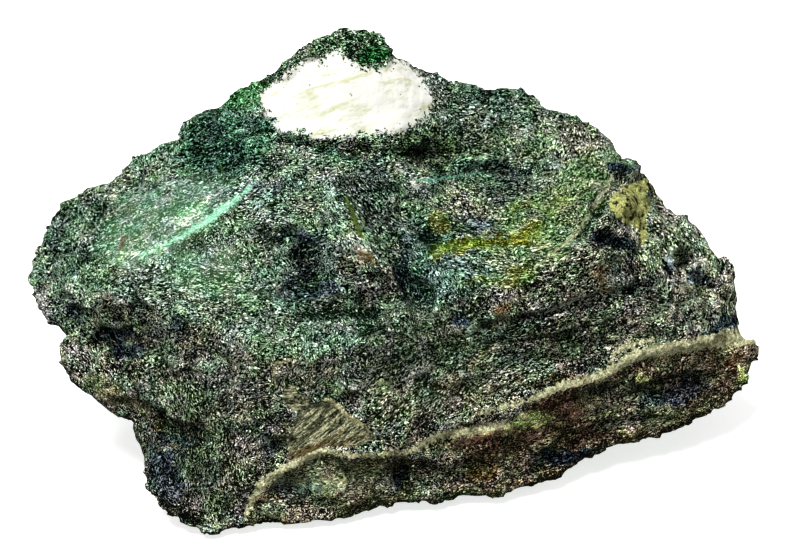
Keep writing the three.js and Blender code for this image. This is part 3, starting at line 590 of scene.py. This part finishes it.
def skin_of(node):
    """A closed skin of even triangles round a CAD node, finer where it looks to the camera."""
    draft = new_object("draft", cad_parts[node].data.copy())
    remesh = draft.modifiers.new("skin", "REMESH")
    remesh.mode = "VOXEL"
    remesh.voxel_size = VOXEL * MM
    smooth = draft.modifiers.new("ease", "SMOOTH")
    smooth.factor = EASING
    smooth.iterations = EASE_PASSES
    evaluated = draft.evaluated_get(bpy.context.evaluated_depsgraph_get())
    mesh = bpy.data.meshes.new_from_object(evaluated)
    bpy.data.objects.remove(draft)

    skin = bmesh.new()
    skin.from_mesh(mesh)
    skin.normal_update()
    shown = [f for f in skin.faces if f.normal.dot(Vector(TO_CAMERA)) > SHOWN_FACING]
    edges = {edge for face in shown for edge in face.edges}
    bmesh.ops.subdivide_edges(skin, edges=list(edges), cuts=1, use_grid_fill=True)
    ease(skin, skin.verts[:])
    bmesh.ops.triangulate(skin, faces=skin.faces[:])
    skin.to_mesh(mesh)
    skin.free()
    mesh.materials.clear()
    mesh.shade_smooth()
    return mesh


def read(mesh, what):
    """Three numbers for each point of the mesh."""
    values = np.empty(len(mesh.vertices) * 3)
    mesh.vertices.foreach_get(what, values)
    return values.reshape(-1, 3)


def ledge(places, line, depth, reach):
    """A broken step in the picture: pressed in below the line, with a small lip above it."""
    nearest = np.full(len(places), np.inf)
    below = np.zeros(len(places), bool)
    for start, end in zip(line, line[1:]):
        gap = along_and_aside(places, start, end)[1]
        a, b = np.array(start), np.array(end)
        under = (b - a)[0] * (places - a)[:, 1] < (b - a)[1] * (places - a)[:, 0]
        closer = gap < nearest
        nearest = np.where(closer, gap, nearest)
        below = np.where(closer, under, below)
    pressed = -depth * np.exp(-((nearest / reach) ** 2))
    lip = LIP * depth * np.exp(-((2 * nearest / reach) ** 2))
    return np.where(below, pressed, lip)


def relief(points, normals):
    """How far each point of the skin stands out in mm, and its rise above the stone close by."""
    places = as_seen(points)
    facing = normals @ TO_CAMERA
    shown = smoothstep(-0.2, 0.1, facing)
    paint = smoothstep(0.6, -0.4, distance_to_area(places, PAINT)) * shown
    chip = smoothstep(0.2, -0.2, distance_to_area(places, CHIP)) * shown
    band = smoothstep(-0.6, -2.6, distance_to_area(places, BELOW_VEIN))
    band = band * smoothstep(-0.05, 0.45, facing)
    rugged = 1.0
    for *oval, gain in RUGGED:
        rugged = rugged + gain * patch_mask(places, *oval) * shown

    bent = points + drift_at(points, *FACETS_DRIFT)
    chips = sum(height * facets_at(bent, cell, seed) for cell, height, seed in FACETS)
    flow, lying = flow_of(points, places)
    straight = noise_at(stretched(points, GRAIN, RIDGE_RATIO), RIDGE_SPACING)
    flowing = noise_at(stretched(flow, ALONG, RIDGE_RATIO), FLOW_RIDGE_SPACING)
    ridges = RIDGE_HEIGHT * (straight + (flowing - straight) * lying * shown)
    grains = sum(height * noise_at(points, spacing, seed) for spacing, height, seed in GRAINS)
    height = (chips + ridges + grains) * rugged
    height *= 1 - SMOOTHED * paint
    height *= 1 - SMOOTHED * chip
    height -= CHIP_DEPTH * chip
    height -= BAND_DEPTH * band

    ragged = places + drift_at(points, *FORMS_DRIFT)
    forms = np.zeros(len(points))
    for *oval, rise in FORMS:
        forms += rise * patch_mask(ragged, *oval) * shown
    for line, depth, reach in LEDGES:
        forms += ledge(ragged, line, depth, reach) * shown
    height += forms
    return height, (0.6 * chips + 2.4 * ridges + 3 * grains + 0.5 * forms) * (1 - paint)


def ease_folds(mesh, normals):
    """Smooths the skin where the relief has folded a face over, against the normals it had before."""
    skin = bmesh.new()
    skin.from_mesh(mesh)
    skin.normal_update()
    folded = []
    for vertex, normal in zip(skin.verts, normals):
        outward = Vector(normal)
        if any(face.normal.dot(outward) < FOLD_FACING for face in vertex.link_faces):
            folded.append(vertex)
    for _ in range(FOLD_PASSES):
        ease(skin, folded)
    skin.to_mesh(mesh)
    skin.free()
    return read(mesh, "co") / MM


def attach(mesh, name, values, kind="FLOAT"):
    """Gives each point of the mesh a value that the shader reads by name."""
    layer = mesh.attributes.new(name, kind, "POINT")
    key = {"FLOAT_COLOR": "color", "FLOAT_VECTOR": "vector", "FLOAT": "value"}[kind]
    layer.data.foreach_set(key, np.ascontiguousarray(values, dtype=np.float32).ravel())


def attach_colours(mesh, name, colours):
    attach(mesh, name, np.hstack([colours, np.ones((len(colours), 1))]), "FLOAT_COLOR")


def linear(colour):
    """The linear numbers, from 0 to 1, of an sRGB colour in percent."""
    colour = np.array(colour) / 100
    return np.where(colour <= 0.04045, colour / 12.92, ((colour + 0.055) / 1.055) ** 2.4)


def attach_tones(mesh, points, normals, places):
    """The colours of the ground and its flecks, how thickly flecks lie, and the flow they follow."""
    facing = normals @ TO_CAMERA
    blurred = places + sum(drift_at(points, *drift) for drift in PATCH_DRIFTS)
    half_blurred = 0.5 * (places + blurred)
    count = len(points)
    ground = np.zeros((count, 3))
    fleck = np.zeros((count, 3))
    flecking = np.zeros(count)

    def lay(tone, mask):
        under, over, thickness, light = TONES[tone]
        ground[:] += (linear(under) / light - ground) * mask[:, None]
        fleck[:] += (linear(over) / light - fleck) * mask[:, None]
        flecking[:] += (thickness - flecking) * mask

    def lay_patches(patches, region):
        for tone, *oval, strength in patches:
            lay(tone, patch_mask(blurred, *oval) * strength * region)

    lay("sage", np.ones(count))
    lay_patches(PATCHES, 1)
    front = smoothstep(0.8, -0.8, distance_to_area(half_blurred, FRONT))
    lay("ash", front)
    lay_patches(FRONT_PATCHES, front)
    band = smoothstep(0.3, -0.3, distance_to_area(places, BELOW_VEIN))
    lay("ember", band)
    lay_patches(BAND_PATCHES, band)

    hidden = smoothstep(-0.1, -0.4, facing)
    lay("sage", hidden)
    for tone, seed in HIDDEN_TONES.items():
        clouds = smoothstep(0.0, 0.25, noise_at(points, CLOUD_SPACING, seed))
        lay(tone, CLOUD_STRENGTH * hidden * clouds)

    shown = smoothstep(-0.25, 0.1, facing)
    # Painted light and shade, partly tone: the flecks lie thicker or thinner in these spots
    for *oval, change in TONE_AND_PAINTED_SHADING:
        flecking += change / 100 * patch_mask(half_blurred, *oval) * shown
    # Painted shade: fewer flecks, so darker stone, where it faces down
    flecking -= UNDERSIDE_PAINTED_SHADE * smoothstep(0.15, -0.45, normals[:, 2]) * (1 - hidden)
    flecking += HIDDEN_GAIN * hidden
    flow, lying = flow_of(points, places)
    attach_colours(mesh, "ground", ground)
    attach_colours(mesh, "fleck", fleck)
    attach(mesh, "flecking", flecking)
    attach(mesh, "flow", flow, "FLOAT_VECTOR")
    attach(mesh, "lying", lying * shown)


def attach_markings(mesh, facing, places):
    """How far each point lies from the markings, in mm, and the colour of the nearest thin line:
    threads and painted edge highlights.
    """
    kept_off = (1 - smoothstep(0.0, 0.18, facing)) * KEPT_OFF
    veins = [distance_to_line(places, line) for line in (VEIN_LEFT, VEIN_RIGHT, VEIN_BRANCH)]
    attach(mesh, "vein", np.min(veins, axis=0))
    threads_and_highlights = np.array([distance_to_line(places, line) for _, line in LINES_AND_EDGE_HIGHLIGHTS])
    thread_and_highlight_colours = linear([colour for colour, _ in LINES_AND_EDGE_HIGHLIGHTS])
    attach_colours(mesh, "thread_and_highlight_colour", thread_and_highlight_colours[np.argmin(threads_and_highlights, axis=0)])
    gaps = {
        "paint": distance_to_area(places, PAINT),
        "chip": np.minimum(distance_to_area(places, CHIP), distance_to_area(places, FLAKE)),
        "crust": distance_to_area(places, CRUST),
        "streak": distance_to_line(places, STREAK),
        "thread_and_highlight": threads_and_highlights.min(axis=0),
    }
    for name, gap in gaps.items():
        attach(mesh, name, gap + kept_off)


class Nodes:
    """Short calls that add shader nodes to one material."""

    def __init__(self, material):
        self.tree = material.node_tree

    def fill(self, node, inputs):
        for key, value in inputs.items():
            if isinstance(value, bpy.types.NodeSocket):
                self.tree.links.new(value, node.inputs[key])
            else:
                node.inputs[key].default_value = value

    def add(self, kind, inputs, **settings):
        node = self.tree.nodes.new(kind)
        for name, value in settings.items():
            setattr(node, name, value)
        self.fill(node, inputs)
        return node

    def math(self, operation, a, b=0.0, c=0.0):
        return self.add("ShaderNodeMath", {0: a, 1: b, 2: c}, operation=operation).outputs[0]

    def vector(self, operation, a, b):
        return self.add("ShaderNodeVectorMath", {0: a, 1: b}, operation=operation).outputs[0]

    def scaled(self, vector, factor):
        inputs = {0: vector, "Scale": factor}
        return self.add("ShaderNodeVectorMath", inputs, operation="SCALE").outputs[0]

    def stretched(self, vector, direction, ratio):
        """The vector pressed together along a direction, so that a texture is drawn out along it."""
        inputs = {0: vector, 1: tuple(direction)}
        dot = self.add("ShaderNodeVectorMath", inputs, operation="DOT_PRODUCT").outputs["Value"]
        along = self.math("MULTIPLY", dot, 1 - 1 / ratio)
        return self.vector("SUBTRACT", vector, self.scaled(tuple(direction), along))

    def noise(self, vector, name, output="Fac"):
        """One of the NOISES."""
        scale, detail, roughness = NOISES[name]
        inputs = {"Vector": vector, "Scale": scale, "Detail": detail, "Roughness": roughness}
        return self.add("ShaderNodeTexNoise", inputs).outputs[output]

    def cells(self, vector, scale, output="Color", feature="F1"):
        inputs = {"Vector": vector, "Scale": scale}
        return self.add("ShaderNodeTexVoronoi", inputs, feature=feature).outputs[output]

    def channels(self, colour):
        return self.add("ShaderNodeSeparateColor", {0: colour}).outputs

    def ramp(self, value, low, high, to_low=0.0, to_high=1.0):
        """Rises from to_low to to_high as value goes from low to high."""
        inputs = {0: value, 1: low, 2: high, 3: to_low, 4: to_high}
        return self.add("ShaderNodeMapRange", inputs, interpolation_type="SMOOTHSTEP").outputs[0]

    def step(self, value, name):
        """One of the STEPS."""
        return self.ramp(value, *STEPS[name])

    def pattern(self, vector, name):
        """The noise of that name, stepped."""
        return self.step(self.noise(vector, name), name)

    def weighed(self, *parts):
        """The sum of the parts, each given as its weight and its value."""
        total = 0.0
        for weight, value in parts:
            total = self.math("MULTIPLY_ADD", value, weight, total)
        return total

    def mix(self, share, a, b):
        """A colour between a and b."""
        node = self.add("ShaderNodeMix", {0: share}, data_type="RGBA")
        for index, colour in ((6, a), (7, b)):
            self.fill(node, {index: (*colour, 1.0) if isinstance(colour, tuple) else colour})
        return node.outputs[2]

    def blend(self, share, a, b):
        """A number between a and b."""
        return self.add("ShaderNodeMix", {0: share, 2: a, 3: b}, data_type="FLOAT").outputs[0]

    def attribute(self, name, output="Fac"):
        return self.add("ShaderNodeAttribute", {}, attribute_name=name).outputs[output]


class StoneNodes(Nodes):
    """The fine textures of the stone, and calls that draw with them."""

    def __init__(self, material):
        super().__init__(material)
        self.place = self.scaled(self.add("ShaderNodeTexCoord", {}).outputs["Object"], 1 / MM)
        self.swirl = self.drift("swirl")
        self.swirled = self.shifted(self.place, self.swirl, 3)
        self.combed = self.attribute("flow", "Vector")
        self.flow = self.shifted(self.combed, self.swirl, 1.4)
        self.lying = self.attribute("lying")
        self.zone = self.noise(self.place, "zone")
        self.stroke = self.channels(self.strokes())
        self.fine = self.noise(self.stretched(self.swirled, GRAIN, 1.4), "fine")
        self.clumps = self.noise(self.swirled, "clumps")
        bent = self.stretched(self.shifted(self.swirled, self.drift("bend"), 2), GRAIN, 1.7)
        # Chance colours for chips and chiplets; their red part makes each chip's flecks a little
        # lighter or darker: partly tone, partly painted light and shade of small facets
        self.chips = self.channels(self.cells(bent, CHIPS_A_MM))
        self.chiplets = self.channels(self.cells(bent, CHIPLETS_A_MM))
        # Dark lines along the chiplets' edges: painted shade in the cracks between them
        gaps = self.cells(bent, CHIPLETS_A_MM, "Distance", "DISTANCE_TO_EDGE")
        self.crack_shade = self.math("MULTIPLY", self.step(gaps, "gaps"), self.step(self.clumps, "crack_shade"))
        self.tangled = self.shifted(self.stretched(self.swirled, GRAIN, 1.8), self.swirl, 2)
        self.edge = self.wandering("edge", EDGE_WANDER)

    def drift(self, name):
        """Noise from about -0.5 to 0.5 in three directions."""
        return self.vector("SUBTRACT", self.noise(self.place, name, "Color"), (0.5, 0.5, 0.5))

    def wandering(self, name, reach):
        """Noise that strays to both sides of 0, by about half of reach."""
        return self.math("MULTIPLY", self.math("SUBTRACT", self.noise(self.place, name), 0.5), reach)

    def shifted(self, vector, drift, reach):
        return self.vector("ADD", vector, self.scaled(drift, reach))

    def strokes_along(self, vector, direction, ratio, density):
        """A chance colour for each stroke."""
        return self.cells(self.stretched(vector, Vector(direction).normalized(), ratio), density)

    def strokes(self):
        """Strokes that run different ways in different zones, and along the flow where there is one."""
        first, second, third = [self.strokes_along(self.swirled, *row) for row in STROKES]
        stroke = self.mix(self.step(self.zone, "third strokes"), second, third)
        stroke = self.mix(self.step(self.zone, "first strokes"), stroke, first)
        flowing = self.strokes_along(self.flow, *FLOW_STROKES)
        return self.mix(self.step(self.lying, "flow strokes"), stroke, flowing)

    def bands(self):
        """Broad bands along the grain, and along the flow where there is one."""
        straight = self.noise(self.stretched(self.swirled, GRAIN, 5), "bands")
        flowing = self.noise(self.stretched(self.flow, ALONG, 5), "flow bands")
        return self.blend(self.lying, straight, flowing)

    def thin_lines(self, name, width):
        """1 on thin lines that wander, 0 between them."""
        wave = self.math("ABSOLUTE", self.math("SUBTRACT", self.noise(self.tangled, name), 0.5))
        return self.ramp(wave, width, 0.2 * width)

    def inside(self, name):
        """1 inside the marking of that name, 0 outside it."""
        soft, reach, wander = EDGES[name]
        gap = self.math("ADD", self.attribute(name), self.math("MULTIPLY", self.edge, wander))
        return self.ramp(gap, reach + soft, reach - soft)


def fleck_layers(n):
    """What the flecks are cut from, where they lie, and how bright each is."""
    hairs = n.math("MULTIPLY", n.thin_lines("hairs", 0.03), n.step(n.zone, "hairs"))
    cracks = n.math("MULTIPLY", n.thin_lines("cracks", 0.022), n.step(n.clumps, "cracks"))
    # rise lays the flecks thicker on rises and thinner in hollows: painted light on rises and painted
    # shade in hollows
    flecking, rise = n.attribute("flecking"), n.attribute("rise")
    bias = n.weighed(
        (0.1, n.clumps), (0.8, flecking), (0.24, n.bands()), (0.1, n.chips["Red"]),
        (0.11, n.chiplets["Red"]), (-0.16, n.crack_shade), (0.26, hairs), (-0.36, cracks), (0.1, rise),
    )
    value = n.weighed((1.6, n.fine), (0.75, n.stroke["Red"]))
    light = n.step(n.math("ADD", value, bias), "light")
    shade = n.math("MULTIPLY", light, n.math("POWER", n.stroke["Green"], 2))
    return value, light, shade


def flecked_stone(n, light, shade):
    """The colour of the ground, and of the stone with its flecks."""
    warmth = n.weighed((1, n.noise(n.place, "warmth")), (0.08, n.stroke["Blue"]))
    yellow = n.noise(n.swirled, "yellow")
    yellow = n.weighed((1, yellow), (0.32, n.chips["Green"]), (0.12, n.chiplets["Green"]))
    tint = n.mix(n.step(warmth, "warmth"), *COOL_TO_WARM)
    tint = n.vector("MULTIPLY", tint, n.mix(n.step(yellow, "yellow"), *PLAIN_TO_YELLOW))
    ground = n.vector("MULTIPLY", n.attribute("ground", "Color"), tint)
    fleck = n.vector("MULTIPLY", n.attribute("fleck", "Color"), tint)
    # Painted glints: the brightest flecks are made paler and brighter, as sparkles of light on them
    brighter = {"Color": fleck, "Saturation": 0.75, "Value": 1.5}
    painted_glint = n.add("ShaderNodeHueSaturation", brighter).outputs[0]
    fleck = n.mix(n.step(shade, "painted_glint"), fleck, painted_glint)
    return ground, n.mix(n.weighed((0.44, light), (1.15, shade)), ground, fleck)


def chip_colour(n, grainy, ground, value):
    """Combed fibres, stained near the vein, with the ground showing through in places."""
    combed = n.stretched(n.shifted(n.combed, n.swirl, 0.5), ALONG, 12)
    fibres = n.weighed((0.25, grainy), (0.85, n.pattern(combed, "fibres")))
    near_vein = n.step(n.math("ADD", n.attribute("vein"), n.edge), "stain")
    chip = n.mix(near_vein, n.mix(fibres, *COLOURS["chip"]), n.mix(fibres, *COLOURS["stained chip"]))
    return n.mix(n.weighed((0.7, n.step(value, "chip's gaps"))), chip, ground)


def with_markings(n, stone, ground, value):
    """The stone's colour with the minerals of its markings over it."""
    grainy = n.step(n.weighed((0.35, n.stroke["Red"]), (1, n.fine)), "grainy")
    colour = n.mix(n.inside("streak"), stone, n.mix(grainy, *COLOURS["streak"]))
    # Dark pits in the crust: painted shade
    pit_shade = n.pattern(n.place, "pits")
    crust = n.mix(pit_shade, CRUST_PIT_SHADE, n.mix(grainy, *COLOURS["crust"]))
    colour = n.mix(n.inside("crust"), colour, crust)
    colour = n.mix(n.inside("chip"), colour, chip_colour(n, grainy, ground, value))
    gritty = n.weighed((0.35, grainy), (0.65, n.pattern(n.swirled, "grit")))
    # The vein, darkened along the chiplets' edges: painted shade in its cracks
    vein = n.mix(n.weighed((0.7, n.crack_shade)), n.mix(gritty, *COLOURS["vein"]), VEIN_CRACK_SHADE)
    colour = n.mix(n.inside("vein"), colour, vein)
    # Threads, and pale edge lines that are painted highlights
    thread_and_highlight = n.mix(grainy, *COLOURS["thread_and_highlight"])
    thread_and_highlight = n.vector("MULTIPLY", n.attribute("thread_and_highlight_colour", "Color"), thread_and_highlight)
    return n.mix(n.inside("thread_and_highlight"), colour, thread_and_highlight)


def white_paint(n):
    """Where the paint covers the stone, and its colour."""
    brushed = n.pattern(n.stretched(n.place, GRAIN, 5), "brush marks")
    gap = n.attribute("paint")
    worn = n.weighed((1, n.noise(n.place, "bare spots")), (0.16, n.step(gap, "worn edge")))
    painted = n.step(n.math("ADD", gap, n.wandering("paint edge", PAINT_WANDER)), "paint edge")
    painted = n.math("MULTIPLY", painted, n.step(worn, "bare spots"))
    return painted, n.mix(brushed, *COLOURS["paint"])


def new_material(name):
    material = bpy.data.materials.new(name)
    material.use_nodes = True
    return material, material.node_tree.nodes["Principled BSDF"]


def stone_material():
    material, shader = new_material("serpentine_stone")
    n = StoneNodes(material)
    value, light, shade = fleck_layers(n)
    ground, stone = flecked_stone(n, light, shade)
    painted, coat = white_paint(n)
    rises = n.blend(painted, n.math("ADD", light, n.clumps), n.noise(n.place, "daubs"))
    bump = {"Height": rises, "Distance": 0.25 * MM, "Strength": 0.8}
    n.fill(shader, {
        "Base Color": n.mix(painted, with_markings(n, stone, ground, value), coat),
        "Roughness": n.step(light, "roughness"),
        "Specular IOR Level": 0.05,
        "Normal": n.add("ShaderNodeBump", bump).outputs[0],
    })
    return material


def rock_surface():
    mesh = skin_of("rock")
    points, normals = read(mesh, "co") / MM, read(mesh, "normal")
    standing = smoothstep(0.2, 2.0, points[:, 2])
    height, rise = relief(points, normals)
    points += normals * (height * standing)[:, None]
    points[:, 2] = np.maximum(points[:, 2], 0)
    mesh.vertices.foreach_set("co", (points * MM).ravel())
    mesh.update()
    points = ease_folds(mesh, normals)
    places = as_seen(points)
    attach_tones(mesh, points, normals, places)
    # rise is read by the shader as painted light on rises and painted shade in hollows
    attach(mesh, "rise", rise)
    attach_markings(mesh, normals @ TO_CAMERA, places)
    mesh.materials.append(stone_material())
    piece = new_object("rock_surface", mesh)
    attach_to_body(piece, "root")
    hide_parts("rock")


def floor():
    mesh = bpy.data.meshes.new("floor")
    turns = ((-1, -1), (1, -1), (1, 1), (-1, 1))
    mesh.from_pydata([(x * FLOOR_HALF, y * FLOOR_HALF, 0) for x, y in turns], [], [(0, 1, 2, 3)])
    material, shader = new_material("studio_paper")
    n = Nodes(material)
    place = n.add("ShaderNodeTexCoord", {}).outputs["Object"]
    n.fill(shader, {
        "Base Color": n.mix(n.pattern(place, "paper"), *FLOOR_TONES),
        "Roughness": 0.9,
        "Emission Color": WHITE,
        "Emission Strength": 0.5,
    })
    mesh.materials.append(material)
    paper = new_object("floor", mesh)
    paper.visible_diffuse = False


def look_at(thing, target):
    direction = Vector(target) - thing.location
    thing.rotation_mode = "QUATERNION"
    thing.rotation_quaternion = direction.to_track_quat("-Z", "Y")


def studio():
    scene = bpy.context.scene
    scene.view_settings.view_transform = "Standard"
    scene.view_settings.look = "High Contrast"
    scene.world = bpy.data.worlds.new("studio")
    scene.world.use_nodes = True
    backdrop = scene.world.node_tree.nodes["Background"]
    backdrop.inputs["Color"].default_value = WHITE
    backdrop.inputs["Strength"].default_value = 0.3

    lamp = bpy.data.lights.new("softbox", "AREA")
    lamp.size = 0.4
    lamp.energy = 11
    softbox = new_object("softbox", lamp)
    softbox.location = (-0.22, -0.40, 0.95)
    look_at(softbox, (0, 0, 0.03))

    lens = bpy.data.cameras.new("camera")
    lens.sensor_width = 36
    lens.lens = lens.sensor_width * CAMERA_DISTANCE / PICTURE_WIDTH
    camera = new_object("camera", lens)
    camera.location = Vector((SIGHT_TARGET + TO_CAMERA * CAMERA_DISTANCE) * MM)
    look_at(camera, SIGHT_TARGET * MM)
    scene.camera = camera


rock_surface()
floor()
studio()
